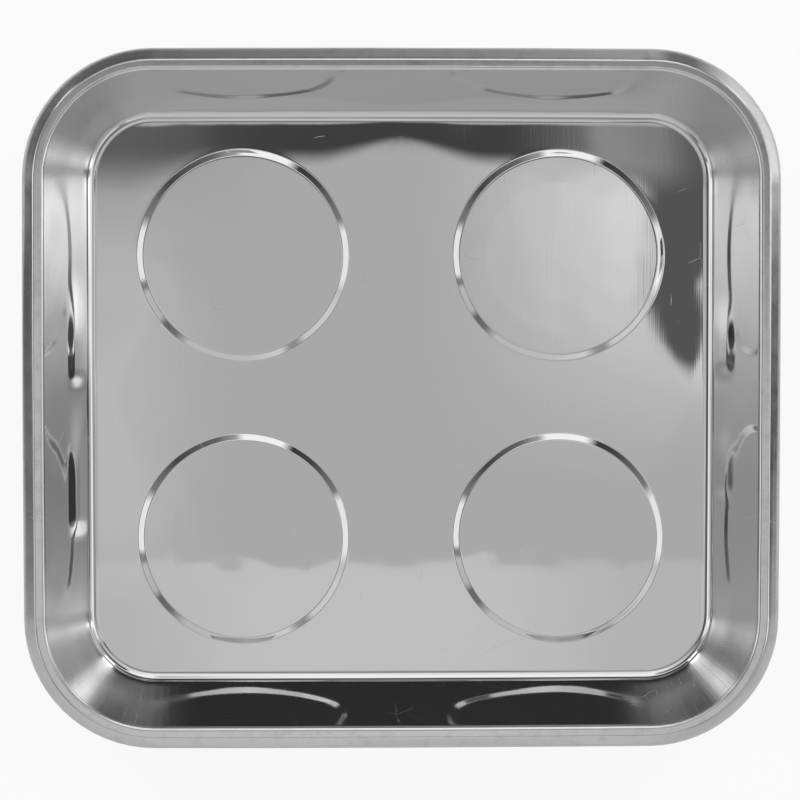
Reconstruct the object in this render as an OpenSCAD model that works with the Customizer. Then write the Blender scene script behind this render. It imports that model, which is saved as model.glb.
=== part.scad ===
// Magnetic parts tray: a pressed stainless pan carried by four rubber-booted ring magnets.
// Millimetres. +X runs along the length, +Y to the rear and +Z up.
// The origin is under the middle of the pan, on the plane of the four boot faces.

/* [Pan] */
// Length over the rim
pan_l = 290; // [270:1:360]
// Width over the rim
pan_w = 268; // [250:1:340]
// Depth from the top of the rim to the floor
pan_depth = 25; // [18:1:34]
// Thickness of the stainless sheet
sheet = 0.8; // [0.5:0.1:1]
// Radius of the rim's outer edge at the corners
corner_r = 49.4; // [42:0.2:64]
// Lean of the walls from the vertical, in degrees
wall_lean = 33; // [20:1:38]
// Radius from the floor to the walls
floor_r = 4.8; // [2:0.2:8]

/* [Rim] */
// Width of the flange that slopes down round the rim
flange_w = 5; // [3:0.5:7]
// Slope of the flange, in degrees
flange_slope = 40; // [20:1:60]
// Radius of the bends on both sides of the flange
flange_r = 1.2; // [1.2:0.1:2]
// Straight skirt below the flange
skirt_h = 2.1; // [2:0.1:4]
// Width of the flat land on top of the rim
land_w = 2.2; // [1:0.2:5]
// Radius from the land to the wall
lip_r = 1.8; // [1.4:0.2:3]

/* [Bosses] */
// Height of the raised bosses above the floor
boss_h = 1.05; // [0.8:0.05:3]
// Slope of the step round a boss, in degrees
boss_slope = 24; // [20:1:60]
// Radius at the top of the step
boss_top_r = 1.2; // [1.2:0.1:2]
// Radius at the foot of the step
boss_foot_r = 0.4; // [0.3:0.1:1.5]
// Share of the free floor that lies outside the bosses, where the rest lies between them
outer_share = 0.436; // [0.2:0.004:0.6]
// Room round a boot inside the hollow of its boss
boss_gap = 1.7; // [0.5:0.1:4]

/* [Magnets] */
// Outer diameter of a ring magnet
magnet_d = 67; // [50:1:72]
// Bore of a ring magnet
magnet_bore = 32; // [24:1:40]
// Thickness of a ring magnet
magnet_h = 8; // [6:0.5:14]
// Thickness of the pressed steel cup
cup_wall = 1.2; // [0.8:0.1:1.8]
// Outer radius of the cup's bend
cup_bend_r = 2; // [2:0.1:3]
// Room between the magnet and the cup's wall
cup_fit = 0.3; // [0.1:0.05:0.6]

/* [Boots] */
// Thickness of the boot's face under the magnet
boot_face = 1.6; // [1.2:0.1:3]
// Thickness of the boot's wall
boot_wall = 1.5; // [1.2:0.1:3]
// Radius of the boot's lower edge
boot_edge_r = 1.2; // [0.4:0.1:1.2]
// Diameter of the opening over the nut
boot_opening = 25; // [20:1:30]
// Bevel round that opening
opening_bevel = 0.6; // [0.2:0.1:1]
// Room between the boot and the cup
boot_fit = 0.15; // [0.05:0.05:0.3]
// Room between the boot's lip and the underside of the boss
lip_gap = 0.2; // [0:0.05:0.5]

/* [Fasteners] */
// Diameter of the weld stud
stud_d = 5; // [4:0.5:6]
// Length of stud that stands past the nut
stud_end = 1.6; // [0.5:0.1:2]
// Bevel at the stud's end
stud_bevel = 0.5; // [0.2:0.1:0.8]
// Diameter of the stud's weld flange
flange_d = 6.5; // [6.5:0.1:8]
// Room between the weld flange and the washer
flange_gap = 0.4; // [0.1:0.05:0.6]
// Room round the weld flange in the cup's hole
hole_fit = 0.25; // [0.1:0.05:0.5]
// Outer diameter of the washer
washer_d = 15; // [11:0.5:20]
// Thickness of the washer
washer_h = 1.2; // [0.8:0.1:2]
// Room between the stud and the washer's bore
washer_fit = 0.2; // [0.1:0.05:0.4]
// Width of the nut across its flats
nut_af = 8; // [7.5:0.5:10]
// Height of the nut
nut_h = 4; // [3:0.5:5]
// Room between the stud and the nut's bore
thread_fit = 0.05; // [0.02:0.01:0.1]

/* [Hidden] */
$fn = 96;
eps = 0.01;
// Strip of floor round a boss where the two are merged
merge_w = 1;

// Heights above the boot faces, from the bottom up
magnet_z = boot_face;
cup_z = magnet_z + magnet_h;
ceiling_z = cup_z + cup_wall;
boss_z = ceiling_z + sheet;
floor_z = boss_z - boss_h;
rim_z = floor_z + pan_depth;

// Radii of the magnet sets, from the magnet out to the foot of the boss
magnet_r = magnet_d / 2;
cup_r = magnet_r + cup_fit + cup_wall;
boot_r = cup_r + boot_fit + boot_wall;
boss_flat_r = boot_r + boss_gap;
step_drop = boss_h - (boss_top_r + boss_foot_r) * (1 - cos(boss_slope));
step_run = (boss_top_r + boss_foot_r) * sin(boss_slope) + step_drop / tan(boss_slope);
boss_r = boss_flat_r + step_run;

// The pan's section, measured outwards from the axis of a corner
wall_in = [-cos(wall_lean), sin(wall_lean)];
flange_out = [sin(flange_slope), cos(flange_slope)];
brow_at = [corner_r - flange_w, rim_z - flange_r];
edge_at = brow_at + (flange_w - flange_r) * [1, -tan(flange_slope)];
lip_at = [brow_at.x - land_w, rim_z - lip_r];
wall_top = lip_at + lip_r * wall_in;
wall_foot_z = floor_z + floor_r * (1 - sin(wall_lean));
wall_foot = [wall_top.x - (wall_top.y - wall_foot_z) * tan(wall_lean), wall_foot_z];
floor_edge = wall_foot.x - floor_r * cos(wall_lean);

// Corner axes, the flat floor and the boss centres, from the middle of the pan
core = [pan_l / 2 - corner_r, pan_w / 2 - corner_r];
floor_half = core + [floor_edge, floor_edge];
free_floor = floor_half - [2 * boss_r, 2 * boss_r];
boss_at = floor_half - [boss_r, boss_r] - outer_share * free_floor;

// Weld stud and the hole for it
stud_r = stud_d / 2;
flange_h = cup_wall - flange_gap;
stud_tip_z = cup_z - washer_h - nut_h - stud_end;
cup_hole_r = flange_d / 2 + hole_fit;

corners = [["front_left", -1, -1], ["front_right", 1, -1], ["rear_left", -1, 1], ["rear_right", 1, 1]];
set_pieces = ["weld_stud", "magnet_cup", "ring_magnet", "washer", "hex_nut", "rubber_boot"];

function polar(r, a) = r * [cos(a), sin(a)];

// A bend of the sheet: the ring outside inner_r between two angles at most 90 degrees apart
module bend(centre, inner_r, from, to) {
    reach = 2 * (inner_r + sheet);
    translate(centre)
        intersection() {
            difference() {
                circle(inner_r + sheet);
                circle(inner_r);
            }
            polygon([[0, 0], polar(reach, from), polar(reach, (from + to) / 2), polar(reach, to)]);
        }
}

// The sheet's section from a corner's axis out over the floor, up the wall and round the rim
module pan_section() {
    translate([0, floor_z - sheet])
        square([floor_edge, sheet]);
    bend([floor_edge, floor_z + floor_r], floor_r, -90, -wall_lean);
    polygon([wall_top, wall_foot, wall_foot - sheet * wall_in, wall_top - sheet * wall_in]);
    bend(lip_at, lip_r - sheet, 90, 180 - wall_lean);
    difference() {
        rim_skin(flange_r);
        rim_skin(flange_r - sheet);
    }
}

// The rim in section from its land to the end of the skirt, filled below: one skin of the sheet
module rim_skin(r) {
    base_z = edge_at.y - skirt_h;
    polygon([
        [lip_at.x, base_z],
        [lip_at.x, brow_at.y + r],
        brow_at + [0, r],
        brow_at + r * flange_out,
        edge_at + r * flange_out,
        edge_at + [r, 0],
        [edge_at.x + r, base_z],
    ]);
    translate(brow_at)
        circle(r);
    translate(edge_at)
        circle(r);
}

// Half of a boss in section with a strip of floor round it, filled below: one skin of the sheet
module boss_mound(top_z, top_r, foot_r) {
    top_at = [boss_flat_r, boss_z - boss_top_r];
    foot_at = [boss_r, floor_z + boss_foot_r];
    up = polar(1, 90 - boss_slope);
    base_z = top_at.y - 2 * boss_top_r;
    outer_r = boss_r + merge_w;
    difference() {
        union() {
            polygon([
                [0, base_z],
                [outer_r, base_z],
                [outer_r, foot_at.y - foot_r],
                foot_at - [0, foot_r],
                foot_at - foot_r * up,
                top_at + top_r * up,
                [boss_flat_r, top_z],
                [0, top_z],
            ]);
            translate(top_at)
                circle(top_r);
        }
        translate(foot_at)
            circle(foot_r);
    }
}

// The sheet's section through a boss, from its middle past the foot of its step
module boss_section() {
    difference() {
        boss_mound(boss_z, boss_top_r, boss_foot_r);
        boss_mound(ceiling_z, boss_top_r - sheet, boss_foot_r + sheet);
    }
}

module at_bosses() {
    for (c = corners)
        translate([c[1] * boss_at.x, c[2] * boss_at.y, 0])
            children();
}

// The plain pan: its section turned round each corner and drawn along each side
module plain_pan() {
    translate([-core.x, -core.y, floor_z - sheet])
        cube([2 * core.x, 2 * core.y, sheet]);
    for (turn = [0 : 3]) {
        axis = turn % 2 == 0 ? core : [core.y, core.x];
        rotate(90 * turn)
            translate([axis.x, axis.y, 0]) {
                rotate_extrude(angle = 90)
                    pan_section();
                rotate([90, 0, 0])
                    linear_extrude(2 * axis.y)
                        pan_section();
            }
    }
}

module tray_pan() {
    color("silver") {
        difference() {
            plain_pan();
            at_bosses()
                translate([0, 0, floor_z - sheet - eps])
                    cylinder(h = sheet + 2 * eps, r = boss_r);
        }
        at_bosses()
            rotate_extrude()
                boss_section();
    }
}

module weld_stud() {
    color("goldenrod")
        rotate_extrude()
            polygon([
                [0, ceiling_z],
                [flange_d / 2, ceiling_z],
                [flange_d / 2, ceiling_z - flange_h],
                [stud_r, ceiling_z - flange_h],
                [stud_r, stud_tip_z + stud_bevel],
                [stud_r - stud_bevel, stud_tip_z],
                [0, stud_tip_z],
            ]);
}

// Half of the cup in section, filled, with its skin moved out by grow
module cup_outline(grow = 0) {
    side = cup_r + grow;
    top = ceiling_z + grow;
    round_r = cup_bend_r + grow;
    translate([0, magnet_z])
        square([side, top - round_r - magnet_z]);
    translate([0, magnet_z])
        square([side - round_r, top - magnet_z]);
    translate([side - round_r, top - round_r])
        circle(round_r);
}

module magnet_cup() {
    color("gainsboro")
        rotate_extrude()
            difference() {
                cup_outline();
                cup_outline(-cup_wall);
                square([cup_hole_r, ceiling_z + eps]);
            }
}

module ring_magnet() {
    bevel = cup_bend_r - cup_wall;
    bore_r = magnet_bore / 2;
    color("dimgray")
        rotate_extrude()
            polygon([
                [bore_r, magnet_z + bevel],
                [bore_r + bevel, magnet_z],
                [magnet_r - bevel, magnet_z],
                [magnet_r, magnet_z + bevel],
                [magnet_r, cup_z - bevel],
                [magnet_r - bevel, cup_z],
                [bore_r + bevel, cup_z],
                [bore_r, cup_z - bevel],
            ]);
}

module washer() {
    color("lightgray")
        translate([0, 0, cup_z - washer_h])
            difference() {
                cylinder(h = washer_h, d = washer_d);
                translate([0, 0, -eps])
                    cylinder(h = washer_h + 2 * eps, r = stud_r + washer_fit);
            }
}

module hex_nut() {
    corner = nut_af / 2 / cos(30);
    bevel = (corner - nut_af / 2) * tan(30);
    color("lightgray")
        translate([0, 0, cup_z - washer_h - nut_h])
            difference() {
                intersection() {
                    cylinder(h = nut_h, r = corner, $fn = 6);
                    rotate_extrude()
                        polygon([
                            [0, 0],
                            [nut_af / 2, 0],
                            [corner, bevel],
                            [corner, nut_h - bevel],
                            [nut_af / 2, nut_h],
                            [0, nut_h],
                        ]);
                }
                translate([0, 0, -eps])
                    cylinder(h = nut_h + 2 * eps, r = stud_r + thread_fit);
            }
}

// The boot's lip closes over the bend of the cup, which holds the boot on
module rubber_boot() {
    top = ceiling_z - lip_gap;
    opening_r = boot_opening / 2;
    color("#202022")
        rotate_extrude()
            difference() {
                union() {
                    translate([0, boot_edge_r])
                        square([boot_r, top - boot_edge_r]);
                    square([boot_r - boot_edge_r, 2 * boot_edge_r]);
                    translate([boot_r - boot_edge_r, boot_edge_r])
                        circle(boot_edge_r);
                }
                cup_outline(boot_fit);
                polygon([
                    [0, -eps],
                    [opening_r + opening_bevel + eps, -eps],
                    [opening_r, opening_bevel],
                    [opening_r, magnet_z + eps],
                    [0, magnet_z + eps],
                ]);
            }
}

tray_pan();

for (c = corners)
    translate([c[1] * boss_at.x, c[2] * boss_at.y, 0]) {
        weld_stud();
        magnet_cup();
        ring_magnet();
        washer();
        hex_nut();
        rubber_boot();
    }
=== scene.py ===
"""Dresses a magnetic parts tray: a polished stainless pan carried by four booted ring magnets."""

import math

import bmesh
import bpy
from bpy.props import FloatProperty, FloatVectorProperty, IntProperty, PointerProperty
from mathutils import Matrix, Vector, noise


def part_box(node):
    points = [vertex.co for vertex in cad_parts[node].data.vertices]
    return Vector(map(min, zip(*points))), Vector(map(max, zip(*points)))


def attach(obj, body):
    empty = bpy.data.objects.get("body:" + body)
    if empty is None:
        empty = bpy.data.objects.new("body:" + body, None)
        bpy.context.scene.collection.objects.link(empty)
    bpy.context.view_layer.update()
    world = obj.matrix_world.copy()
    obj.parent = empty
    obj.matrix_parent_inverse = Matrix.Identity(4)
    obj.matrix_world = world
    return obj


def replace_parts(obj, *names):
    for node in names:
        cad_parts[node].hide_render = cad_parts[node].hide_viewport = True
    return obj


bl_info = {
    "name": "Magnetic Parts Tray",
    "version": (1, 0, 0),
    "blender": (4, 5, 0),
    "location": "View3D > Sidebar > Parts Tray",
    "description": "Models and finishes a polished parts tray round its packed frame",
    "category": "Object",
}

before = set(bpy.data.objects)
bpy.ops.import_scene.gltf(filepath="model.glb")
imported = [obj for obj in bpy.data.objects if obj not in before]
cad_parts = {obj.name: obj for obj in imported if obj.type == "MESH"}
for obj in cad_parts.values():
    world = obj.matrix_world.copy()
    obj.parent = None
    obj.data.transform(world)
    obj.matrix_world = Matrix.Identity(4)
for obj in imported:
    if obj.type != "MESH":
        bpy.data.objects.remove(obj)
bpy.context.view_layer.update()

CORNERS = ("front_left", "front_right", "rear_left", "rear_right")
PAN_LOW, PAN_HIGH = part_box("tray_pan")
CUP_LOW, CUP_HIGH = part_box("magnet_cup_rear_right")
BOSS_AT = (CUP_LOW + CUP_HIGH) / 2

# rings of the room, from the floor up: where a ring begins and is full, as the height of a direction,
# and its grey from the front by the left, the rear and the right to the front
ROOM_RINGS = (
    (-1.1, -1.0, (
        (0.0, 0.75), (0.15, 0.7), (0.22, 0.6), (0.231, 0.5), (0.2345, 0.12), (0.238, 0.13),
        (0.2405, 0.25), (0.2426, 0.22), (0.2455, 0.05), (0.25, 0.05), (0.2536, 0.16), (0.257, 0.35),
        (0.28, 0.14), (0.48, 0.14), (0.4945, 0.2), (0.498, 0.32), (0.51, 0.38), (0.515, 0.38),
        (0.52, 0.6), (0.54, 0.2), (0.57, 0.2), (0.62, 0.9), (0.7, 1.1), (0.743, 1.2), (0.7485, 0.12),
        (0.76, 0.05), (0.7655, 0.06), (0.768, 0.3), (0.775, 0.45), (0.85, 0.5), (1.0, 0.75))),
    (0.2, 0.24, (
        (0.0, 0.72), (0.1, 0.5), (0.17, 0.5), (0.2, 1.1), (0.222, 1.0), (0.2325, 0.63), (0.2375, 0.56),
        (0.2425, 0.68), (0.2476, 1.1), (0.2536, 1.6), (0.265, 1.5), (0.285, 1.1), (0.31, 0.5),
        (0.4, 0.06), (0.5, 0.05), (0.6, 0.06), (0.66, 0.35), (0.69, 0.6), (0.725, 0.7), (0.737, 1.2),
        (0.742, 2.3), (0.747, 2.4), (0.7525, 1.0), (0.758, 0.55), (0.763, 0.42), (0.768, 0.65),
        (0.774, 1.7), (0.785, 2.0), (0.8, 1.1), (0.82, 0.5), (0.9, 0.5), (1.0, 0.72))),
    (0.41, 0.45, (
        (0.0, 0.8), (0.1, 0.7), (0.17, 0.6), (0.2, 1.0), (0.225, 0.9), (0.2425, 0.65), (0.2476, 0.9),
        (0.2536, 1.4), (0.265, 1.3), (0.3, 0.6), (0.36, 0.9), (0.5, 1.2), (0.64, 0.9), (0.7, 0.6),
        (0.725, 0.7), (0.737, 1.2), (0.742, 2.0), (0.747, 2.1), (0.7525, 1.0), (0.758, 0.6),
        (0.768, 0.65), (0.774, 1.6), (0.785, 1.8), (0.8, 1.1), (0.82, 0.6), (0.9, 0.7), (1.0, 0.8))),
    (0.53, 0.57, (
        (0.0, 0.8), (0.09, 0.75), (0.115, 0.25), (0.14, 0.2), (0.153, 0.7), (0.192, 0.75), (0.2, 0.3),
        (0.206, 0.35), (0.215, 1.25), (0.29, 1.25), (0.31, 0.3), (0.375, 0.09), (0.45, 0.2), (0.485, 0.5),
        (0.5, 1.4), (0.565, 1.4), (0.585, 0.06), (0.625, 0.09), (0.69, 0.3), (0.71, 1.25), (0.79, 1.25),
        (0.81, 0.8), (0.84, 0.95), (0.9, 0.9), (0.913, 0.4), (0.925, 0.45), (0.94, 0.95), (1.0, 0.8))),
    (0.75, 0.79, (
        (0.0, 0.55), (0.1, 0.45), (0.19, 0.2), (0.25, 0.12), (0.3, 0.2), (0.37, 0.7), (0.5, 1.3),
        (0.63, 0.8), (0.7, 0.7), (0.75, 0.6), (0.82, 0.22), (0.9, 0.22), (1.0, 0.5))),
)
# soft boxes: the middle of their azimuth, half their width, their lower and upper edge, and their strength
SOFT_BOXES = (
    (0.366, 0.018, 0.18, 0.4, 2.6),
    (0.634, 0.018, 0.18, 0.4, 2.6),
)
# softness of a box: of its sides, as a share of half its width, and of its lower and upper edge
BOX_SOFT = 0.3
BOX_EDGE = 0.03
# heights of a direction between which the rings give way to the ceiling
CEILING_EDGE = (0.94, 0.955)
# greys of the ceiling's dark and pale parts
CEILING_GREYS = {"rear": 0.075, "left": 0.17, "right": 0.135, "beyond": 0.42, "band": 0.6}
# lamps for the matt surfaces
LAMPS = {"lamp_left": (-0.95, 0.95, 0.68), "lamp_right": (0.95, 0.95, 0.68)}
LAMP_AIM = (0, 0, 0.02)
LAMP_SIZE = (0.35, 0.5)
LAMP_POWER = 7.0
# marks that the draw left in the short walls: side, start, end and depth
DRAW_MARKS = (
    (-1, 0.049, 0.009, 1.0),
    (-1, 0.0, -0.048, 1.0),
    (1, 0.04, 0.013, 0.7),
    (1, -0.01, -0.035, 0.4),
)
# length over which a mark ends
MARK_END = 0.005
# the rising and the falling flank of a mark, in widths of its steep flank
MARK_FLANKS = ((-2.0, -0.5), (0.5, -0.5))
# shares of the wall's height between which its waves begin and end
WAVE_FOOT = (0.08, 0.3)
WAVE_TOP = (0.95, 0.75)
# shares of the half length and half width over which the floor's falling strip widens beside the bosses
WIDER_LONG = ((0.0, 0.3), (0.6, 0.85))
WIDER_SHORT = (0.0, 0.4)
# share of the half width over which the fall grows from the front to the rear
FALL_GROWS = (-0.4, 0.3)
# share of a boss's own fall that the right-hand bosses keep
RIGHT_SHARE = 0.2
# distances from the edge of a boss's flat: the step's own band, and the fall of the floor beside it
STEP_BAND = (-0.001, 0.0045)
STEP_FALL = 0.004
# waves of the straying step in a metre
WANDER_COUNT = 55.0
# width inside the edge of the flat over which the finish of a boss begins
BOSS_MARGIN = 0.002
# share of the flats' radius that the end faces of a nut keep
NUT_FACE = 0.97
# angle above which an edge of a washer is rounded
SHARP = 1.0
# segments of the boots, of the other round pieces and of a turn of thread
BOOT_STEPS = 144
ROUND_STEPS = 96
THREAD_STEPS = 36
# place of the picture's middle beside the pan's middle, in pixels
AIM_PX = -3.0
# the floor lies this far under the boots, so that their faces stay clear of it
FLOOR_GAP = 0.0003
FLOOR_HALF = 6.0
FLOOR_GREY = 0.7
# shares of plain white in the floor as the camera and as polished metal see it
WHITE_SEEN = 0.9
WHITE_MIRRORED = 0.25
UP = Vector((0, 0, 1))
ACROSS = Vector((0, 1, 0))
WELD = 1e-5


def length(name, description, default):
    """A size in metres that the user can change."""
    return FloatProperty(name=name, description=description, default=default, unit="LENGTH")


class PanSizes(bpy.types.PropertyGroup):
    """Sizes of the pressed pan that its box in the frame doesn't give."""

    sheet: length("Sheet", "Thickness of the sheet", 0.0008)
    corner_r: length("Corner", "Radius of the rim's outer edge at the corners", 0.0494)
    flange_w: length("Flange", "Width of the sloping flange round the rim", 0.005)
    flange_slope: FloatProperty(
        name="Flange slope", description="Slope of the flange", default=math.radians(40), subtype="ANGLE")
    edge_r: length("Edge", "Radius at both edges of the flange", 0.0012)
    skirt: length("Skirt", "Depth of the rim from its top to its lower edge", 0.0065)
    floor_strip: length("Floor strip", "Width of the floor's strips along the walls", 0.006)
    land: length("Land", "Width of the flat land on the rim", 0.0022)
    lip_r: length("Lip", "Radius from the land to the wall", 0.0018)
    lean: FloatProperty(
        name="Wall lean", description="Lean of the walls from the vertical",
        default=math.radians(33), subtype="ANGLE")
    floor_r: length("Floor radius", "Radius from the floor to the walls", 0.0048)
    boss_r: length("Boss", "Radius of the flat top of a boss", 0.03835)
    boss_h: length("Boss height", "Height of a boss above the floor", 0.00105)
    step_slope: FloatProperty(
        name="Step slope", description="Slope of the step round a boss",
        default=math.radians(24), subtype="ANGLE")
    step_top_r: length("Step top", "Radius at the top of the step", 0.0012)
    step_foot_r: length("Step foot", "Radius at the foot of the step", 0.001)
    crown: length("Side crown", "How far the sides bow out between the corners", 0.0006)
    droop: FloatProperty(
        name="Edge droop", description="Slope of the floor where it falls away at the walls",
        default=0.045)
    droop_reach: length("Droop reach", "Width of the falling strip at the middle of a side", 0.009)
    droop_spread: FloatProperty(
        name="Droop spread", description="How much wider the strip gets beside the bosses", default=2.2)
    droop_ends: FloatProperty(
        name="Droop ends", description="Share of the fall at the short sides", default=0.6)
    droop_front: FloatProperty(
        name="Droop front", description="Share of the fall in the front half", default=0.45)
    wave: length("Wall waves", "Height of the waves in the walls", 0.0001)
    wave_count: FloatProperty(
        name="Wave count", description="Waves in a metre of wall", default=32.0)
    rim_wave: length("Rim wave", "Rise and fall of the flange's edge", 0.0003)
    rim_count: FloatProperty(
        name="Rim count", description="Waves in a metre of the flange", default=13.0)
    corner_fade: length("Corner fade", "Length over which the finish of the corners begins", 0.02)
    groove: length("Groove", "Depth of the draw marks in the short walls", 0.0005)
    groove_at: length("Groove place", "Place of the draw marks outside the corners' axes", 0.0316)
    groove_w: length("Groove width", "Width of the steep flank of the draw marks", 0.0036)
    ring_wander: length("Step wander", "How far the step round a boss strays", 0.0003)
    boss_share: FloatProperty(
        name="Boss share", description="Share of the fall that the tops of the bosses follow", default=0.14)


class BootSizes(bpy.types.PropertyGroup):
    """Sizes of the rubber boots."""

    face: length("Face", "Thickness of the face under the magnet", 0.0016)
    opening_r: length("Opening", "Radius of the opening over the nut", 0.0125)
    bevel: length("Bevel", "Bevel round the opening", 0.0006)
    edge_r: length("Edge", "Radius of the lower edge", 0.0012)
    lip_r: length("Lip", "Radius on the outside of the lip", 0.0004)
    fit: length("Fit", "Room between the boot and the cup", 0.00015)
    cup_bend_r: length("Cup bend", "Outer radius of the bend that the lip closes over", 0.002)
    seam: length("Seam", "Height of the moulding line round the wall", 0.00015)


class FastenerSizes(bpy.types.PropertyGroup):
    """Sizes of the studs, washers and nuts."""

    pitch: length("Pitch", "Pitch of the thread", 0.0008)
    depth: length("Thread depth", "Depth of the thread", 0.00045)
    stud_r: length("Stud", "Outer radius of the thread", 0.0025)
    stud_bevel: length("Stud end", "Bevel at the end of the stud", 0.0005)
    flange_r: length("Weld flange", "Radius of the weld flange", 0.00325)
    flange_h: length("Flange height", "Height of the weld flange", 0.0008)
    bore: length("Nut bore", "Radius of the nut's bore", 0.00255)
    sink: length("Countersink", "Bevel at both ends of the nut's bore", 0.0004)
    washer_bore: length("Washer bore", "Radius of the washer's bore", 0.0027)
    washer_edge: length("Washer edge", "Rounding of the washer's edges", 0.0002)


class StageSizes(bpy.types.PropertyGroup):
    """Camera and light of the studio."""

    camera_h: length("Camera height", "Height of the camera above the rim", 1.2)
    camera_x: length("Camera side", "Sideways place of the camera", -0.037)
    camera_y: length("Camera back", "Place of the camera towards the rear", 0.056)
    image_px: IntProperty(name="Image", description="Width of the image in pixels", default=800)
    pan_px: IntProperty(name="Pan", description="Length of the pan in pixels", default=761)


class Finishes(bpy.types.PropertyGroup):
    """Colours of the finishes."""

    stainless: FloatVectorProperty(
        name="Stainless", description="Polished stainless sheet", subtype="COLOR", size=3,
        default=(0.62, 0.62, 0.62))
    plate: FloatVectorProperty(
        name="Zinc plate", description="Plated steel of cups and fasteners", subtype="COLOR", size=3,
        default=(0.66, 0.67, 0.68))
    ferrite: FloatVectorProperty(
        name="Ferrite", description="Ground ferrite of the magnets", subtype="COLOR", size=3,
        default=(0.045, 0.045, 0.048))
    rubber: FloatVectorProperty(
        name="Rubber", description="Moulded rubber of the boots", subtype="COLOR", size=3,
        default=(0.018, 0.018, 0.019))


class Wire:
    """A shader socket that joins in Python arithmetic by adding Math nodes."""

    def __init__(self, graph, socket):
        self.graph = graph
        self.socket = socket

    def maths(self, operation, first, second):
        return self.graph.add("ShaderNodeMath", {"operation": operation}, {0: first, 1: second})

    def __add__(self, other):
        return self.maths("ADD", self, other)

    def __radd__(self, other):
        return self.maths("ADD", other, self)

    def __sub__(self, other):
        return self.maths("SUBTRACT", self, other)

    def __rsub__(self, other):
        return self.maths("SUBTRACT", other, self)

    def __mul__(self, other):
        return self.maths("MULTIPLY", self, other)

    def __rmul__(self, other):
        return self.maths("MULTIPLY", other, self)

    def __truediv__(self, other):
        return self.maths("DIVIDE", self, other)


class Graph:
    """A node tree that is filled by one method."""

    def __init__(self, tree):
        self.tree = tree
        self.tree.nodes.clear()

    def add(self, kind, settings=None, inputs=None, output=0):
        """Adds a node, with its settings first and then the values or links of its sockets."""
        node = self.tree.nodes.new(kind)
        for key, value in (settings or {}).items():
            if key == "stops":
                self.set_stops(node.color_ramp, value)
            else:
                setattr(node, key, value)
        for key, value in (inputs or {}).items():
            if isinstance(value, Wire):
                self.tree.links.new(value.socket, node.inputs[key])
            else:
                node.inputs[key].default_value = value
        return Wire(self, node.outputs[output]) if node.outputs else None

    def set_stops(self, ramp, stops):
        while len(ramp.elements) < len(stops):
            ramp.elements.new(1.0)
        for element, (place, grey) in zip(ramp.elements, stops):
            element.position = place
            element.color = (grey, grey, grey, 1.0)

    def places(self, scale=(1, 1, 1)):
        """Object coordinates in metres, stretched by scale."""
        point = self.add("ShaderNodeTexCoord", output="Object")
        return self.add("ShaderNodeMapping", {}, {"Vector": point, "Scale": scale})

    def noise(self, point, scale, detail=2.0, roughness=0.5):
        return self.add("ShaderNodeTexNoise", {}, {
            "Vector": point, "Scale": scale, "Detail": detail, "Roughness": roughness})

    def fade(self, value, start, end, low=0.0, high=1.0):
        """A smooth step of value from low at start to high at end."""
        return self.add("ShaderNodeMapRange", {"interpolation_type": "SMOOTHSTEP"}, {
            "Value": value, "From Min": start, "From Max": end, "To Min": low, "To Max": high})

    def size(self, value):
        """A value without its sign."""
        return self.add("ShaderNodeMath", {"operation": "ABSOLUTE"}, {0: value})

    def blend(self, factor, first, second):
        """Mixes two colours."""
        return self.add("ShaderNodeMix", {"data_type": "RGBA"}, {0: factor, 6: first, 7: second}, output=2)


def new_material(name):
    material = bpy.data.materials.new(name)
    material.use_nodes = True
    return material, Graph(material.node_tree)


def finish_surface(graph, inputs, bump=None, bump_height=1e-5):
    """Ends a material in a Principled BSDF, with an optional bump from a height value."""
    if bump is not None:
        inputs["Normal"] = graph.add("ShaderNodeBump", {}, {
            "Strength": 1.0, "Distance": bump_height, "Height": bump})
    shader = graph.add("ShaderNodeBsdfPrincipled", {}, inputs)
    graph.add("ShaderNodeOutputMaterial", {}, {"Surface": shader})


def rgba(colour):
    return (*colour, 1.0)


def grey(value):
    return (value, value, value, 1.0)


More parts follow.
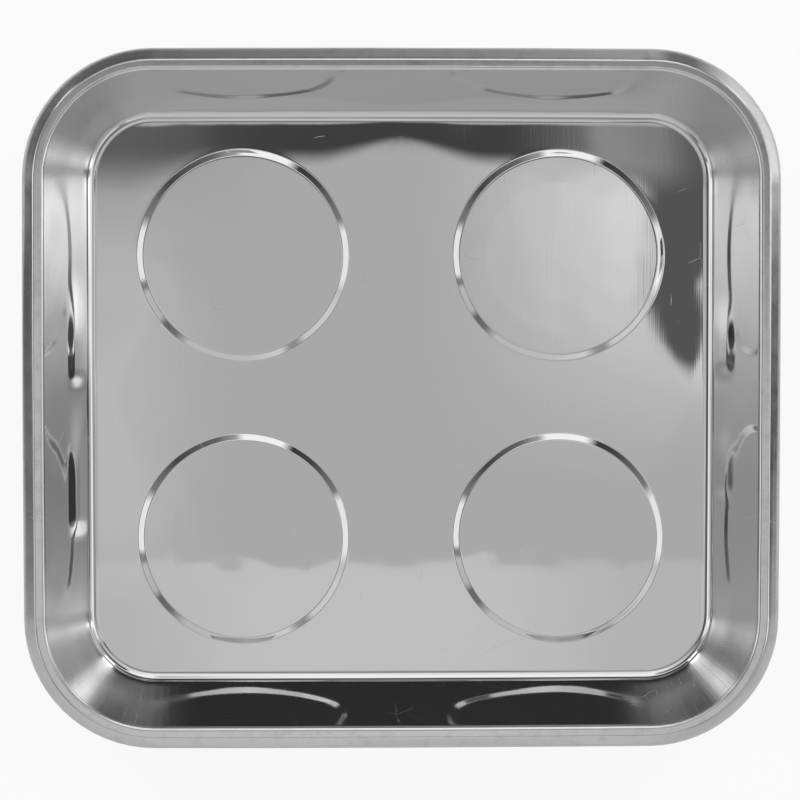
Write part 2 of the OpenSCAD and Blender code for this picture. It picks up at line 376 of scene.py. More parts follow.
def mirror_stainless(colour):
    """Mirror-polished floor, satin corners with polishing streaks up them, and a scuffed rim."""
    material, graph = new_material("mirror_stainless")
    wall, rim, corner, boss = (
        graph.add("ShaderNodeAttribute", {"attribute_name": zone}, output="Fac")
        for zone in ("wall", "rim", "corner", "boss"))
    way = graph.add("ShaderNodeAttribute", {"attribute_name": "way"}, output="Vector")
    lines = graph.noise(graph.places((1.0, 0.015, 1.0)), 1500.0, 3.0)
    streaks = graph.noise(graph.places((1.0, 0.08, 0.3)), 420.0, 4.0, 0.6)
    radial = graph.noise(way, 90.0, 5.0, 0.6)
    dents = graph.noise(graph.places(), 45.0, 1.0)
    scuffs = graph.noise(graph.places(), 160.0, 4.0, 0.65)
    smears = graph.fade(graph.noise(graph.places(), 18.0, 3.0), 0.45, 0.75)
    specks = graph.fade(graph.noise(graph.places(), 900.0), 0.74, 0.8)
    worn = specks * 0.35 + rim * graph.fade(scuffs, 0.45, 0.75) * 0.25
    tone = graph.blend(worn, rgba(colour), rgba([c * 0.55 for c in colour]))
    # the satin begins before the corners' joints, its streaks at them
    satin = wall * graph.fade(corner, 0.0, 0.7) * (1 - rim)
    combed = wall * graph.fade(corner, 0.5, 1.0) * (1 - rim)
    # scratches lie on the bent edges of large cells, where a patchy noise lets them show
    wander = graph.add("ShaderNodeTexNoise", {}, {"Vector": graph.places(), "Scale": 25.0}, output="Color")
    bent = graph.add("ShaderNodeVectorMath", {"operation": "SCALE"}, {0: wander, "Scale": 0.03})
    trail = graph.add("ShaderNodeVectorMath", {"operation": "ADD"}, {0: graph.places(), 1: bent})
    cells = graph.add("ShaderNodeTexVoronoi", {"feature": "DISTANCE_TO_EDGE"}, {
        "Vector": trail, "Scale": 60.0})
    patches = graph.fade(graph.noise(graph.places(), 55.0), 0.62, 0.68)
    scratches = graph.fade(cells, 0.007, 0.003) * patches
    rough = 0.02 + smears * 0.01 + wall * 0.03 + rim * (0.02 + scuffs * 0.14)
    rough = rough + satin * (0.1 + radial * 0.12 + streaks * 0.08) + scratches * 0.22
    height = lines * 2.4e-6 + dents * (2.0e-5 + boss * 4.0e-5 + rim * 7.0e-5)
    height = height + (radial * 3e-5 + streaks * 1.5e-5) * combed + scuffs * rim * 1.2e-5
    finish_surface(graph, {"Base Color": tone, "Metallic": 1.0, "Roughness": rough}, height, 1.0)
    return material


def zinc_plate(colour):
    """Bright zinc plate with a soft grain."""
    material, graph = new_material("zinc_plate")
    grain = graph.noise(graph.places(), 1400.0, 3.0)
    cloud = graph.noise(graph.places(), 120.0, 2.0)
    tone = graph.blend(cloud, rgba(colour), rgba([c * 0.82 for c in colour]))
    finish_surface(graph, {
        "Base Color": tone,
        "Metallic": 1.0,
        "Roughness": 0.22 + cloud * 0.14,
    }, grain, 4e-6)
    return material


def ground_ferrite(colour):
    """Dark ceramic magnet with a ground face and pale grain."""
    material, graph = new_material("ground_ferrite")
    grain = graph.noise(graph.places(), 2200.0, 4.0, 0.7)
    tone = graph.blend(graph.fade(grain, 0.5, 0.8), rgba(colour), rgba([c * 2.6 for c in colour]))
    finish_surface(graph, {"Base Color": tone, "Roughness": 0.55 + grain * 0.2}, grain, 2e-5)
    return material


def moulded_rubber(colour):
    """Matt black rubber with a fine grain, scuffs and a little dust."""
    material, graph = new_material("moulded_rubber")
    grain = graph.noise(graph.places(), 1800.0, 2.0)
    scuffs = graph.fade(graph.noise(graph.places(), 60.0, 4.0, 0.65), 0.5, 0.8)
    tone = graph.blend(scuffs * 0.5, rgba(colour), rgba([c * 3.0 for c in colour]))
    finish_surface(graph, {
        "Base Color": tone,
        "Roughness": 0.5 + scuffs * 0.25 + grain * 0.1,
    }, grain, 3e-5)
    return material


def finish_named(name):
    """The finish of that name, made the first time that it is asked for."""
    makers = {
        "stainless": mirror_stainless,
        "plate": zinc_plate,
        "ferrite": ground_ferrite,
        "rubber": moulded_rubber,
    }
    known = bpy.data.materials.get(makers[name].__name__)
    return known or makers[name](getattr(bpy.context.scene.tray_finishes, name))


def dress(node, finish):
    """Gives a CAD node its finish."""
    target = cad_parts[node]
    target.data.materials.clear()
    target.data.materials.append(finish_named(finish))


def new_piece(name, bm, finish):
    """Makes a mesh into a piece of the object."""
    mesh = bpy.data.meshes.new(name)
    bm.to_mesh(mesh)
    bm.free()
    mesh.materials.append(finish_named(finish))
    piece = bpy.data.objects.new(name, mesh)
    bpy.context.scene.collection.objects.link(piece)
    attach(piece, "root")
    return piece


class Pen:
    """Draws a section in the XZ plane as a chain of edges, by extruding and spinning its last point."""

    def __init__(self, bm, start):
        self.bm = bm
        self.tip = bm.verts.new(start)

    def line(self, end, steps=1):
        start = self.tip.co.copy()
        for step in range(1, steps + 1):
            made = bmesh.ops.extrude_vert_indiv(self.bm, verts=[self.tip])
            self.tip = made["verts"][0]
            self.tip.co = start.lerp(end, step / steps)

    def bend(self, centre, angle, steps):
        """Turns the tip round centre, where a positive angle goes from +X towards +Z."""
        made = bmesh.ops.spin(self.bm, geom=[self.tip], cent=centre, axis=-ACROSS, angle=angle, steps=steps)
        self.tip = next(v for v in made["geom_last"] if isinstance(v, bmesh.types.BMVert))


def draw_boss(bm, sizes, floor_z, at, reach, steps):
    """One boss with a strip of floor round it, spun from its section."""
    slope = sizes.step_slope
    flat = at + Vector((sizes.boss_r, 0, 0))
    boss_z = floor_z + sizes.boss_h
    top_centre = Vector((flat.x, at.y, boss_z - sizes.step_top_r))
    drop = sizes.boss_h - (sizes.step_top_r + sizes.step_foot_r) * (1 - math.cos(slope))
    run = (sizes.step_top_r + sizes.step_foot_r) * math.sin(slope) + drop / math.tan(slope)
    foot_centre = Vector((flat.x + run, at.y, floor_z + sizes.step_foot_r))
    outward = Vector((math.sin(slope), 0, math.cos(slope)))
    guard = sizes.sheet / 2
    pen = Pen(bm, (at.x, at.y, boss_z))
    pen.line(Vector((flat.x - guard, at.y, boss_z)), 4)
    pen.line(Vector((flat.x, at.y, boss_z)))
    pen.bend(top_centre, -slope, 5)
    pen.line(foot_centre - outward * sizes.step_foot_r, 2)
    pen.bend(foot_centre, slope, 4)
    pen.line(Vector((foot_centre.x + guard, at.y, floor_z)))
    pen.line(Vector((at.x + reach, at.y, floor_z)))
    chain = bm.verts[:] + bm.edges[:]
    bmesh.ops.spin(bm, geom=chain, cent=at, axis=UP, angle=math.tau, steps=steps, use_merge=True)
    bmesh.ops.remove_doubles(bm, verts=bm.verts[:], dist=WELD)


def draw_wall_section(bm, sizes, floor_z, rim_z, axis):
    """The sheet's section from a strip of floor to the end of the skirt, beside a corner's axis."""
    lean = sizes.lean
    inward = Vector((-math.cos(lean), 0, math.sin(lean)))
    outward = Vector((math.sin(sizes.flange_slope), 0, math.cos(sizes.flange_slope)))
    outer_x = axis.x + sizes.corner_r
    brow_centre = Vector((outer_x - sizes.flange_w, axis.y, rim_z - sizes.edge_r))
    lip_centre = Vector((brow_centre.x - sizes.land, axis.y, rim_z - sizes.lip_r))
    edge_centre = Vector((outer_x - sizes.edge_r, axis.y, 0))
    edge_centre.z = brow_centre.z - (edge_centre.x - brow_centre.x) * math.tan(sizes.flange_slope)
    wall_top = lip_centre + inward * sizes.lip_r
    foot_z = floor_z + sizes.floor_r * (1 - math.sin(lean))
    foot_x = wall_top.x - (wall_top.z - foot_z) * math.tan(lean)
    floor_x = foot_x - sizes.floor_r * math.cos(lean)
    guard = sizes.sheet / 2
    pen = Pen(bm, (floor_x - sizes.floor_strip, axis.y, floor_z))
    pen.line(Vector((floor_x - guard, axis.y, floor_z)), 5)
    pen.line(Vector((floor_x, axis.y, floor_z)))
    pen.bend(Vector((floor_x, axis.y, floor_z + sizes.floor_r)), math.pi / 2 - lean, 8)
    pen.line(wall_top, 26)
    pen.bend(lip_centre, lean - math.pi / 2, 6)
    pen.line(Vector((lip_centre.x + guard, axis.y, rim_z)))
    pen.line(Vector((brow_centre.x - guard, axis.y, rim_z)))
    pen.line(Vector((brow_centre.x, axis.y, rim_z)))
    pen.bend(brow_centre, -sizes.flange_slope, 4)
    pen.line(edge_centre + outward * sizes.edge_r, 3)
    pen.bend(edge_centre, sizes.flange_slope - math.pi / 2, 4)
    pen.line(Vector((outer_x, axis.y, rim_z - sizes.skirt)), 2)
    return floor_x


def push_edges(bm, edges, offset, steps):
    """Draws open edges along by offset in equal steps, and returns the last ones."""
    for _ in range(steps):
        made = bmesh.ops.extrude_edge_only(bm, edges=edges)["geom"]
        verts = [g for g in made if isinstance(g, bmesh.types.BMVert)]
        bmesh.ops.translate(bm, verts=verts, vec=offset / steps)
        moved = set(verts)
        edges = [g for g in made if isinstance(g, bmesh.types.BMEdge) and moved.issuperset(g.verts)]
    return edges


def draw_walls(bm, sizes, floor_z, rim_z, axis, steps):
    """A quarter of wall and rim: its section spun round the corner and drawn along both sides."""
    floor_x = draw_wall_section(bm, sizes, floor_z, rim_z, axis)
    chain = bm.edges[:]
    spun = bmesh.ops.spin(
        bm, geom=bm.verts[:] + chain, cent=axis, axis=UP, angle=math.pi / 2, steps=steps["corner"])
    far = [g for g in spun["geom_last"] if isinstance(g, bmesh.types.BMEdge)]
    push_edges(bm, chain, Vector((0, -axis.y, 0)), steps["end"])
    push_edges(bm, far, Vector((-axis.x, 0, 0)), steps["side"])
    return floor_x


def draw_floor_middle(bm, floor_z, steps):
    """Open edges along both middle lines of the pan, from the strips of floor to the middle."""
    floor = [v for v in bm.verts if abs(v.co.z - floor_z) < WELD]
    rear = min((v for v in floor if abs(v.co.x) < WELD), key=lambda v: v.co.y)
    right = min((v for v in floor if abs(v.co.y) < WELD), key=lambda v: v.co.x)
    middle = Vector((0, 0, floor_z))
    for tip, count in ((rear, steps["middle_y"]), (right, steps["middle_x"])):
        start = tip.co.copy()
        for step in range(1, count + 1):
            tip = bmesh.ops.extrude_vert_indiv(bm, verts=[tip])["verts"][0]
            tip.co = start.lerp(middle, step / count)


def floor_outline(bm, floor_z):
    """The edges round the part of the floor that is still open."""
    def on_middle(edge):
        return any(all(abs(v.co[i]) < WELD for v in edge.verts) for i in (0, 1))

    level = [e for e in bm.edges if all(abs(v.co.z - floor_z) < WELD for v in e.verts)]
    return [e for e in level if e.is_wire or e.is_boundary and not on_middle(e)]


def smooth_step(value, start, end):
    t = min(max((value - start) / (end - start), 0.0), 1.0)
    return t * t * (3 - 2 * t)


def bowl(value, start):
    """A parabola that leaves zero at start and reaches one, where its slope ends, at value one."""
    return min(max((value - start) / (1 - start), 0.0), 1.0) ** 2


def floor_drop(sizes, x, y, half):
    """How far the floor falls at x and y: along the walls, and further in the corners beside the bosses."""
    u = min(abs(x) / half.x, 1.0)
    v = min(abs(y) / half.y, 1.0)
    beside_u = sum(smooth_step(u, *span) for span in WIDER_LONG) / len(WIDER_LONG)
    beside_v = smooth_step(v, *WIDER_SHORT)
    reach_v = sizes.droop_reach * (1 + sizes.droop_spread * beside_u) / half.y
    reach_u = sizes.droop_reach * (1 + sizes.droop_spread * beside_v) / half.x
    fall_v = bowl(v, 1 - reach_v) * reach_v * half.y
    fall_u = bowl(u, 1 - reach_u) * reach_u * half.x
    side = sizes.droop_front + (1 - sizes.droop_front) * smooth_step(y / half.y, *FALL_GROWS)
    return sizes.droop * side * (fall_u * sizes.droop_ends + fall_v) / 2


def settle_floor(bm, sizes, half, floor_half, floor_z):
    """Lets the floor fall away at the walls and the steps stray, and bows the sides."""
    at = Vector((BOSS_AT.x, BOSS_AT.y, 0))
    band_start, band_end = STEP_BAND
    for v in bm.verts:
        from_boss = Vector((abs(v.co.x), abs(v.co.y), 0)) - at
        radius = from_boss.length - sizes.boss_r
        outside = smooth_step(radius, 0.0, STEP_FALL)
        height = 1 - smooth_step(v.co.z, floor_z + sizes.boss_h, (floor_z + PAN_HIGH.z) / 2)
        own = sizes.boss_share * (1.0 if v.co.x < 0 else RIGHT_SHARE)
        share = own + (1 - own) * outside
        v.co.z -= floor_drop(sizes, v.co.x, v.co.y, floor_half) * height * share
        if band_start < radius < band_end:
            swell = math.sin(math.pi * (radius - band_start) / (band_end - band_start))
            stray = sizes.ring_wander * noise.noise(v.co * WANDER_COUNT) * swell
            away = from_boss.normalized() * stray
            v.co.x += math.copysign(1, v.co.x) * away.x
            v.co.y += math.copysign(1, v.co.y) * away.y
        x, y = v.co.x / half.x, v.co.y / half.y
        v.co.x -= math.copysign(sizes.crown * x * x * y * y, x)
        v.co.y -= math.copysign(sizes.crown * x * x * y * y, y)


def draw_mark(x, y):
    """Depth of the marks in the short walls, from 0 to 1, which grow along their run and soon end."""
    depth = 0.0
    for side, start, end, strength in DRAW_MARKS:
        if x * side > 0:
            grown = smooth_step(-y, -start, -(start + 2 * end) / 3)
            depth += strength * grown * smooth_step(y, end - MARK_END, end)
    return depth


def settle_walls(bm, sizes, axis, floor_z, rim_z):
    """Gives the walls the shallow waves and marks that drawing leaves in thin sheet."""
    groove_x = axis.x + sizes.groove_at
    for v in bm.verts:
        rise = (v.co.z - floor_z) / (rim_z - floor_z)
        window = smooth_step(rise, *WAVE_FOOT) * smooth_step(rise, *WAVE_TOP)
        out = Vector((max(abs(v.co.x) - axis.x, 0), max(abs(v.co.y) - axis.y, 0), 0))
        if window == 0 or out.length < sizes.floor_strip:
            continue
        out.x, out.y = math.copysign(out.x, v.co.x), math.copysign(out.y, v.co.y)
        away = out.normalized() * math.cos(sizes.lean) - UP * math.sin(sizes.lean)
        depth = sizes.wave * noise.noise(v.co * sizes.wave_count) * window
        if abs(v.co.y) < axis.y:
            across = (abs(v.co.x) - groove_x) / sizes.groove_w
            flank = math.prod(smooth_step(across, *span) for span in MARK_FLANKS)
            depth -= sizes.groove * draw_mark(v.co.x, v.co.y) * flank
        v.co += away * depth


def settle_rim(bm, sizes, axis, floor_z, rim_z):
    """Lets the flange rise and fall a little on its way round."""
    brow = sizes.corner_r - sizes.flange_w
    for v in bm.verts:
        out = Vector((max(abs(v.co.x) - axis.x, 0), max(abs(v.co.y) - axis.y, 0), 0)).length
        if out > brow and v.co.z > (floor_z + rim_z) / 2:
            v.co.z += sizes.rim_wave * noise.noise(v.co * sizes.rim_count) * (out - brow) / sizes.flange_w


def mark_zones(bm, sizes, axis, floor_z):
    """Stores on each vertex how far it belongs to wall and rim, and its place round the pan."""
    wall = bm.verts.layers.float.new("wall")
    rim = bm.verts.layers.float.new("rim")
    corner = bm.verts.layers.float.new("corner")
    boss = bm.verts.layers.float.new("boss")
    way = bm.verts.layers.float_vector.new("way")
    quarter = axis.x + axis.y + sizes.corner_r * math.pi / 2
    lip = sizes.corner_r - sizes.flange_w - sizes.land
    for v in bm.verts:
        place = Vector((abs(v.co.x), abs(v.co.y)))
        out = Vector((max(place.x - axis.x, 0), max(place.y - axis.y, 0)))
        turn = math.atan2(out.y, out.x) if out.length > WELD else 0
        run = min(place.y, axis.y) + sizes.corner_r * turn
        if turn > math.pi / 4:
            run += axis.x - min(place.x, axis.x)
        run = run / quarter * math.pi / 2
        v[wall] = smooth_step(v.co.z, floor_z + sizes.boss_h, floor_z + sizes.floor_r)
        v[rim] = smooth_step(out.length, lip - sizes.lip_r, lip)
        inside = min(place.x - axis.x, place.y - axis.y) / sizes.corner_fade
        v[corner] = min(max((inside + 1) / 2, 0), 1)
        v[boss] = 1 - smooth_step((place - BOSS_AT.xy).length, sizes.boss_r - BOSS_MARGIN, sizes.boss_r)
        v[way] = (math.copysign(math.cos(run), v.co.x), math.copysign(math.sin(run), v.co.y), 0)


class TRAY_OT_pan(bpy.types.Operator):
    """Model the pressed pan, one quarter mirrored twice and given the thickness of its sheet"""

    bl_idname = "tray.pan"
    bl_label = "Pan"

    def execute(self, context):
        sizes = context.scene.tray_pan
        floor_z = CUP_HIGH.z + sizes.sheet - sizes.boss_h
        rim_z = PAN_HIGH.z
        axis = Vector((PAN_HIGH.x - sizes.corner_r, PAN_HIGH.y - sizes.corner_r, 0))
        steps = {"end": 36, "corner": 16, "side": 44, "middle_y": 44, "middle_x": 52}
        bm = bmesh.new()
        reach = draw_walls(bm, sizes, floor_z, rim_z, axis, steps)
        floor_half = Vector((reach, reach - axis.x + axis.y, 0))
        draw_floor_middle(bm, floor_z, steps)
        bmesh.ops.remove_doubles(bm, verts=bm.verts[:], dist=WELD)
        outline = floor_outline(bm, floor_z)
        boss = bmesh.new()
        at = Vector((BOSS_AT.x, BOSS_AT.y, 0))
        draw_boss(boss, sizes, floor_z, at, sizes.boss_r + STEP_BAND[1], sum(steps.values()))
        boss_mesh = bpy.data.meshes.new("boss")
        boss.to_mesh(boss_mesh)
        boss.free()
        known = set(bm.edges)
        bm.from_mesh(boss_mesh)
        bpy.data.meshes.remove(boss_mesh)
        outline += [e for e in bm.edges if e not in known and e.is_boundary]
        bridged = bmesh.ops.bridge_loops(bm, edges=outline)
        spokes = [e for e in bridged["edges"] if e not in set(outline)]
        bmesh.ops.subdivide_edges(bm, edges=spokes, cuts=9, use_grid_fill=True)
        for side in ("X", "Y"):
            bmesh.ops.mirror(bm, geom=bm.verts[:] + bm.edges[:] + bm.faces[:], axis=side, merge_dist=WELD)
        bmesh.ops.remove_doubles(bm, verts=bm.verts[:], dist=WELD)
        bmesh.ops.recalc_face_normals(bm, faces=bm.faces[:])
        if sum(face.normal.z * face.calc_area() for face in bm.faces) < 0:
            bmesh.ops.reverse_faces(bm, faces=bm.faces[:])
        mark_zones(bm, sizes, axis, floor_z)
        settle_walls(bm, sizes, axis, floor_z, rim_z)
        settle_rim(bm, sizes, axis, floor_z, rim_z)
        settle_floor(bm, sizes, PAN_HIGH, floor_half, floor_z)
        for face in bm.faces:
            face.smooth = True
        piece = new_piece("polished_pan", bm, "stainless")
        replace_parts(piece, "tray_pan")
        wall = piece.modifiers.new("Sheet", "SOLIDIFY")
        wall.thickness = sizes.sheet
        wall.offset = -1
        return {"FINISHED"}


def beside(at, radius, height):
    """The point of a section at a radius from an axis and at a height."""
    return Vector((at.x + radius, at.y, height))


def spin_round(bm, at, steps):
    """Spins a closed section into a ring."""
    bmesh.ops.spin(
        bm, geom=bm.verts[:] + bm.edges[:], cent=at, axis=UP, angle=math.tau, steps=steps, use_merge=True)
    bmesh.ops.remove_doubles(bm, verts=bm.verts[:], dist=WELD)
    bmesh.ops.recalc_face_normals(bm, faces=bm.faces[:])


def shade(bm, limit=math.radians(28)):
    """Shades faces smoothly up to edges that turn by more than the limit."""
    for face in bm.faces:
        face.smooth = True
    for edge in bm.edges:
        edge.smooth = edge.calc_face_angle(0.0) < limit


def draw_boot(sizes, low, high):
    """A boot spun from its section: face, rounded edge, wall with a moulding line, and lip over the cup."""
    at = (low + high) / 2
    radius = (high.x - low.x) / 2
    middle = (low.z + high.z) / 2
    bend_r = sizes.cup_bend_r + sizes.fit
    inside = (CUP_HIGH.x - CUP_LOW.x) / 2 + sizes.fit
    bend_z = CUP_HIGH.z - sizes.cup_bend_r
    bm = bmesh.new()
    pen = Pen(bm, beside(at, sizes.opening_r, low.z + sizes.face))
    pen.line(beside(at, sizes.opening_r, low.z + sizes.bevel))
    pen.line(beside(at, sizes.opening_r + sizes.bevel, low.z))
    pen.line(beside(at, radius - sizes.edge_r, low.z), 6)
    pen.bend(beside(at, radius - sizes.edge_r, low.z + sizes.edge_r), math.pi / 2, 6)
    pen.line(beside(at, radius, middle - sizes.seam))
    pen.line(beside(at, radius + sizes.seam, middle))
    pen.line(beside(at, radius, middle + sizes.seam))
    pen.line(beside(at, radius, high.z - sizes.lip_r))
    pen.bend(beside(at, radius - sizes.lip_r, high.z - sizes.lip_r), math.pi / 2, 4)
    turn = math.asin((high.z - bend_z) / bend_r)
    pen.line(beside(at, inside - bend_r * (1 - math.cos(turn)), high.z))
    pen.bend(beside(at, inside - bend_r, bend_z), -turn, 5)
    pen.line(beside(at, inside, low.z + sizes.face))
    pen.line(beside(at, sizes.opening_r, low.z + sizes.face))
    spin_round(bm, at, BOOT_STEPS)
    shade(bm)
    return bm


class TRAY_OT_boots(bpy.types.Operator):
    """Model the rubber boots, spun from their section with a moulding line"""

    bl_idname = "tray.boots"
    bl_label = "Boots"

    def execute(self, context):
        for corner in CORNERS:
            node = f"rubber_boot_{corner}"
            bm = draw_boot(context.scene.tray_boots, *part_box(node))
            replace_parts(new_piece(f"moulded_boot_{corner}", bm, "rubber"), node)
        return {"FINISHED"}


class TRAY_OT_magnets(bpy.types.Operator):
    """Finish the ring magnets and the steel cups that hold them"""

    bl_idname = "tray.magnets"
    bl_label = "Magnets"

    def execute(self, context):
        for corner in CORNERS:
            dress(f"ring_magnet_{corner}", "ferrite")
            dress(f"magnet_cup_{corner}", "plate")
        return {"FINISHED"}


def draw_washer(sizes, low, high):
    """A stamped washer with rounded edges."""
    at = (low + high) / 2
    radius = (high.x - low.x) / 2
    bm = bmesh.new()
    pen = Pen(bm, beside(at, sizes.washer_bore, low.z))
    for spot in (
            (radius, low.z), (radius, high.z), (sizes.washer_bore, high.z), (sizes.washer_bore, low.z)):
        pen.line(beside(at, *spot))
    spin_round(bm, at, ROUND_STEPS)
    sharp = [e for e in bm.edges if e.calc_face_angle(0.0) > SHARP]
    bmesh.ops.bevel(
        bm, geom=sharp, offset=sizes.washer_edge, segments=3, profile=0.5, affect="EDGES", material=-1)
    shade(bm)
    return bm


def draw_nut(sizes, low, high):
    """A nut: a spun section, its outside pushed out to the six flats and cut by a cone at both ends."""
    at = (low + high) / 2
    flat = min(high.x - low.x, high.y - low.y) / 2
    face = flat * NUT_FACE
    rim = sizes.bore + sizes.sink
    first = 0 if high.y - low.y > high.x - low.x else math.pi / 6
    bm = bmesh.new()
    pen = Pen(bm, beside(at, sizes.bore, low.z + sizes.sink))
    for spot in (
            (rim, low.z), (face, low.z), (flat, low.z), (flat, high.z), (face, high.z), (rim, high.z),
            (sizes.bore, high.z - sizes.sink), (sizes.bore, low.z + sizes.sink)):
        pen.line(beside(at, *spot))
    spin_round(bm, at, ROUND_STEPS)
    for v in bm.verts:
        out = Vector((v.co.x - at.x, v.co.y - at.y, 0))
        if out.length > (face + flat) / 2:
            turn = math.atan2(out.y, out.x) + first
            off = (turn + math.pi / 6) % (math.pi / 3) - math.pi / 6
            reach = flat / math.cos(off)
            cut = (reach - face) * math.tan(math.pi / 6)
            v.co.z += cut if v.co.z < at.z else -cut
            v.co += out.normalized() * (reach - out.length)
    shade(bm)
    return bm


def pull_loop(bm, at, radius, height):
    """Draws the open loop on to a circle at a height."""
    edges = [e for e in bm.edges if e.is_boundary]
    made = bmesh.ops.extrude_edge_only(bm, edges=edges)
    for v in made["geom"]:
        if isinstance(v, bmesh.types.BMVert):
            out = Vector((v.co.x - at.x, v.co.y - at.y, 0)).normalized()
            v.co = Vector((at.x, at.y, height)) + out * radius


def draw_stud(sizes, low, high):
    """A weld stud: a thread spun along its pitch and cut at both ends, with a shank and a weld flange."""
    at = (low + high) / 2
    shank_z = high.z - sizes.flange_h - sizes.pitch
    bm = bmesh.new()
    pen = Pen(bm, beside(at, sizes.stud_r, low.z - sizes.pitch))
    for share, depth in ((0.12, 0.0), (0.5, sizes.depth), (0.62, sizes.depth), (1.0, 0.0)):
        pen.line(beside(at, sizes.stud_r - depth, low.z - sizes.pitch * (1 - share)))
    turns = math.ceil((shank_z - low.z) / sizes.pitch) + 2
    bmesh.ops.spin(
        bm, geom=bm.verts[:] + bm.edges[:], cent=at, axis=UP, dvec=UP * sizes.pitch / THREAD_STEPS,
        angle=math.tau * turns, steps=THREAD_STEPS * turns)
    bmesh.ops.remove_doubles(bm, verts=bm.verts[:], dist=WELD)
    for height, way in ((low.z, -UP), (shank_z, UP)):
        bmesh.ops.bisect_plane(
            bm, geom=bm.verts[:] + bm.edges[:] + bm.faces[:], dist=WELD, plane_co=(0, 0, height),
            plane_no=way, clear_outer=True)
    for v in bm.verts:
        out = Vector((v.co.x - at.x, v.co.y - at.y, 0))
        limit = sizes.stud_r - sizes.stud_bevel + v.co.z - low.z
        if out.length > limit:
            v.co -= out.normalized() * (out.length - limit)
    bmesh.ops.edgeloop_fill(bm, edges=[e for e in bm.edges if e.is_boundary and e.verts[0].co.z < at.z])
    for radius, height in (
            (sizes.stud_r, shank_z + sizes.pitch / 2), (sizes.stud_r, high.z - sizes.flange_h),
            (sizes.flange_r, high.z - sizes.flange_h), (sizes.flange_r, high.z)):
        pull_loop(bm, at, radius, height)
    bmesh.ops.edgeloop_fill(bm, edges=[e for e in bm.edges if e.is_boundary])
    bmesh.ops.recalc_face_normals(bm, faces=bm.faces[:])
    shade(bm)
    return bm


class TRAY_OT_fasteners(bpy.types.Operator):
    """Model the threaded studs, the washers and the bevelled nuts"""

    bl_idname = "tray.fasteners"
    bl_label = "Fasteners"

    def execute(self, context):
        makers = {
            "weld_stud": ("threaded_stud", draw_stud),
            "washer": ("stamped_washer", draw_washer),
            "hex_nut": ("bevelled_nut", draw_nut),
        }
        for corner in CORNERS:
            for node, (name, draw) in makers.items():
                bm = draw(context.scene.tray_fasteners, *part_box(f"{node}_{corner}"))
                piece = new_piece(f"{name}_{corner}", bm, "plate")
                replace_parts(piece, f"{node}_{corner}")
        return {"FINISHED"}


def make_camera(stage):
    """A camera almost straight above the tray, set so that the pan fills the photograph's share."""
    data = bpy.data.cameras.new("camera")
    camera = bpy.data.objects.new("camera", data)
    bpy.context.scene.collection.objects.link(camera)
    px = (PAN_HIGH.x - PAN_LOW.x) / stage.pan_px
    rim_z = PAN_HIGH.z
    eye = Vector((stage.camera_x, stage.camera_y, rim_z + stage.camera_h))
    aim = Vector((AIM_PX * px, 0.0, rim_z))
    camera.location = eye
    backward = (eye - aim).normalized()
    right = ACROSS.cross(backward).normalized()
    camera.rotation_euler = Matrix((right, backward.cross(right), backward)).transposed().to_euler()
    data.sensor_width = 36.0
    data.lens = data.sensor_width * (aim - eye).length / (stage.image_px * px)
    data.clip_end = 20.0
    bpy.context.scene.camera = camera


def make_floor():
    """A pale floor that stays white in the picture and keeps the tray's shadow."""
    bm = bmesh.new()
    lowered = Matrix.Translation(UP * -FLOOR_GAP)
    bmesh.ops.create_grid(bm, x_segments=2, y_segments=2, size=FLOOR_HALF, matrix=lowered)
    mesh = bpy.data.meshes.new("floor")
    bm.to_mesh(mesh)
    bm.free()
    material, graph = new_material("pale_floor")
    seen = graph.add("ShaderNodeLightPath", output="Is Camera Ray")
    mirrored = graph.add("ShaderNodeLightPath", output="Is Glossy Ray")
    plain = graph.add("ShaderNodeBsdfDiffuse", {}, {"Color": grey(FLOOR_GREY)})
    white = graph.add("ShaderNodeEmission", {}, {"Color": grey(1.0), "Strength": 1.0})
    share = seen * WHITE_SEEN + mirrored * WHITE_MIRRORED
    mixed = graph.add("ShaderNodeMixShader", {}, {0: share, 1: plain, 2: white})
    graph.add("ShaderNodeOutputMaterial", {}, {"Surface": mixed})
    mesh.materials.append(material)
    floor = bpy.data.objects.new("floor", mesh)
    bpy.context.scene.collection.objects.link(floor)


def make_ceiling(graph, across, back):
    """The ceiling as the pan's floor shows it, by slopes to the right and to the rear."""
    parts = {name: grey(value) for name, value in CEILING_GREYS.items()}
    front = graph.fade(graph.size(across - 0.02), 0.03, 0.1, 0.83, 0.72)
    tone = graph.fade(back, -0.1, -0.098, front, 0.63)
    tone = tone + graph.fade(across, -0.02, -0.075, 0.0, 0.13) * graph.fade(back, -0.12, -0.08)
    tone = tone + graph.fade(across, 0.03, 0.13, 0.0, 0.5) * graph.fade(graph.size(back - 0.02), 0.1, 0.0)
    rear = graph.fade(across * 0.1 + back, 0.03, 0.075)
    left = graph.fade(back, -0.027, 0.095)
    right = graph.fade(across, 0.104, 0.134) * graph.fade(back, -0.038, -0.018)
    right = right * graph.fade(across - back * 1.2, 0.193, 0.184)
    beyond = graph.fade(across, 0.06, 0.12) * graph.fade(across, 0.19, 0.1) * graph.fade(back, 0.015, 0.07)
    light = graph.blend(rear, tone, parts["rear"])
    light = graph.blend(graph.fade(across, 0.0, -0.09), light, graph.blend(left, tone, parts["left"]))
    light = graph.blend(right, light, parts["right"])
    light = graph.blend(beyond, light, parts["beyond"])
    return graph.blend(graph.fade(back, 0.1235, 0.1275), light, parts["band"])


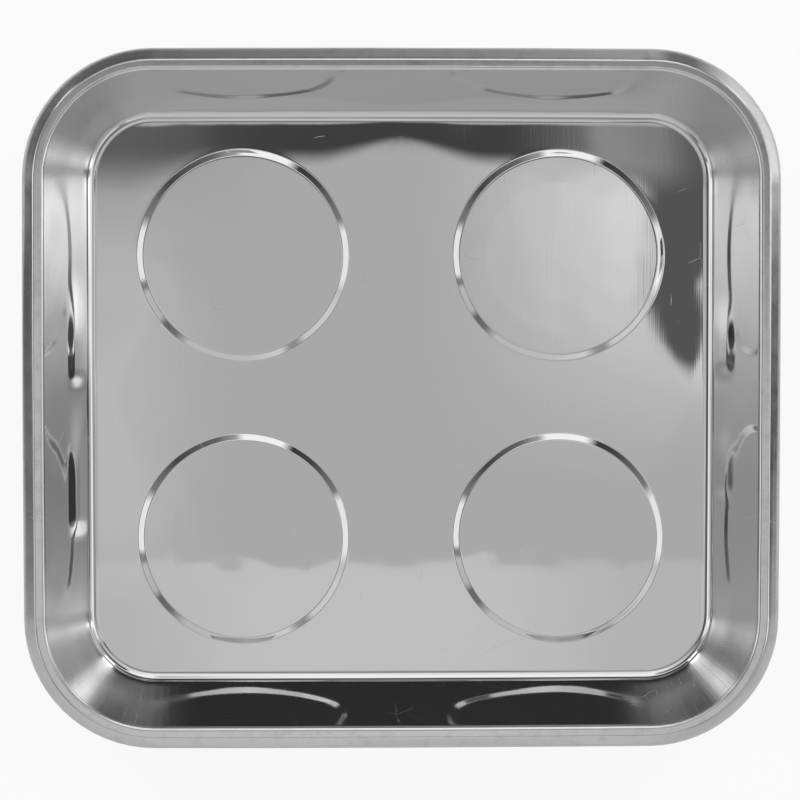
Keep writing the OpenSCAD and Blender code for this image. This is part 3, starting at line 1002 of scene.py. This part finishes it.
def make_world():
    """A studio whose grey ceiling, dark rear and pale front show in the polished sheet."""
    world = bpy.data.worlds.new("studio")
    world.use_nodes = True
    bpy.context.scene.world = world
    graph = Graph(world.node_tree)
    way = graph.add("ShaderNodeTexCoord", output="Generated")
    split = graph.add("ShaderNodeSeparateXYZ", {}, {0: way}).socket.node
    x, y, z = (Wire(graph, split.outputs[i]) for i in range(3))
    height = graph.add("ShaderNodeMath", {"operation": "MAXIMUM"}, {0: z, 1: 0.02})
    overhead = make_ceiling(graph, x / height, y / height)
    azimuth = graph.add("ShaderNodeMath", {"operation": "ARCTAN2"}, {0: x, 1: y}) / math.tau + 0.5
    room = grey(0.0)
    for start, end, stops in ROOM_RINGS:
        ring = graph.add("ShaderNodeValToRGB", {"stops": stops}, {0: azimuth})
        room = graph.blend(graph.fade(z, start, end), room, ring)
    for middle, half, lower, upper, strength in SOFT_BOXES:
        box = graph.fade(graph.size(azimuth - middle), half * (1 + BOX_SOFT), half * (1 - BOX_SOFT))
        box = box * graph.fade(z, lower - BOX_EDGE, lower + BOX_EDGE)
        box = box * graph.fade(z, upper + BOX_EDGE, upper - BOX_EDGE)
        room = graph.blend(box, room, grey(strength))
    light = graph.blend(graph.fade(z, *CEILING_EDGE), room, overhead)
    seen = graph.add("ShaderNodeLightPath", output="Is Camera Ray")
    shown = graph.blend(seen, light, grey(1.0))
    background = graph.add("ShaderNodeBackground", {}, {"Color": shown, "Strength": 1.0})
    graph.add("ShaderNodeOutputWorld", {}, {"Surface": background})


def make_lamp(name, place):
    """A soft lamp for the matt surfaces, which the polished ones don't show."""
    data = bpy.data.lights.new(name, "AREA")
    data.shape = "RECTANGLE"
    data.size, data.size_y = LAMP_SIZE
    data.energy = LAMP_POWER
    lamp = bpy.data.objects.new(name, data)
    lamp.location = place
    lamp.rotation_euler = (Vector(LAMP_AIM) - Vector(place)).to_track_quat("-Z", "Y").to_euler()
    lamp.visible_camera = False
    lamp.visible_glossy = False
    bpy.context.scene.collection.objects.link(lamp)


class TRAY_OT_stage(bpy.types.Operator):
    """Set up the camera, the pale floor and the studio light"""

    bl_idname = "tray.stage"
    bl_label = "Stage"

    def execute(self, context):
        make_camera(context.scene.tray_stage)
        make_floor()
        make_world()
        for name, place in LAMPS.items():
            make_lamp(name, place)
        context.scene.view_settings.view_transform = "Standard"
        return {"FINISHED"}


class TRAY_PT_panel(bpy.types.Panel):
    """Lists the tray's pieces and its sizes"""

    bl_idname = "TRAY_PT_panel"
    bl_label = "Parts Tray"
    bl_space_type = "VIEW_3D"
    bl_region_type = "UI"
    bl_category = "Parts Tray"

    def draw(self, context):
        for operator in OPERATORS:
            self.layout.operator(operator.bl_idname)
        for group in (getattr(context.scene, name) for name in GROUPS):
            box = self.layout.box()
            for name in group.bl_rna.properties.keys():
                if name not in ("rna_type", "name"):
                    box.prop(group, name)


GROUPS = {
    "tray_pan": PanSizes,
    "tray_boots": BootSizes,
    "tray_fasteners": FastenerSizes,
    "tray_stage": StageSizes,
    "tray_finishes": Finishes,
}
OPERATORS = (TRAY_OT_stage, TRAY_OT_pan, TRAY_OT_boots, TRAY_OT_magnets, TRAY_OT_fasteners)
CLASSES = (*GROUPS.values(), *OPERATORS, TRAY_PT_panel)


def register():
    for cls in CLASSES:
        bpy.utils.register_class(cls)
    for name, group in GROUPS.items():
        setattr(bpy.types.Scene, name, PointerProperty(type=group))


def unregister():
    for name in GROUPS:
        delattr(bpy.types.Scene, name)
    for cls in reversed(CLASSES):
        bpy.utils.unregister_class(cls)


def main():
    register()
    bpy.ops.tray.stage()
    bpy.ops.tray.pan()
    bpy.ops.tray.boots()
    bpy.ops.tray.magnets()
    bpy.ops.tray.fasteners()


if __name__ == "__main__":
    main()
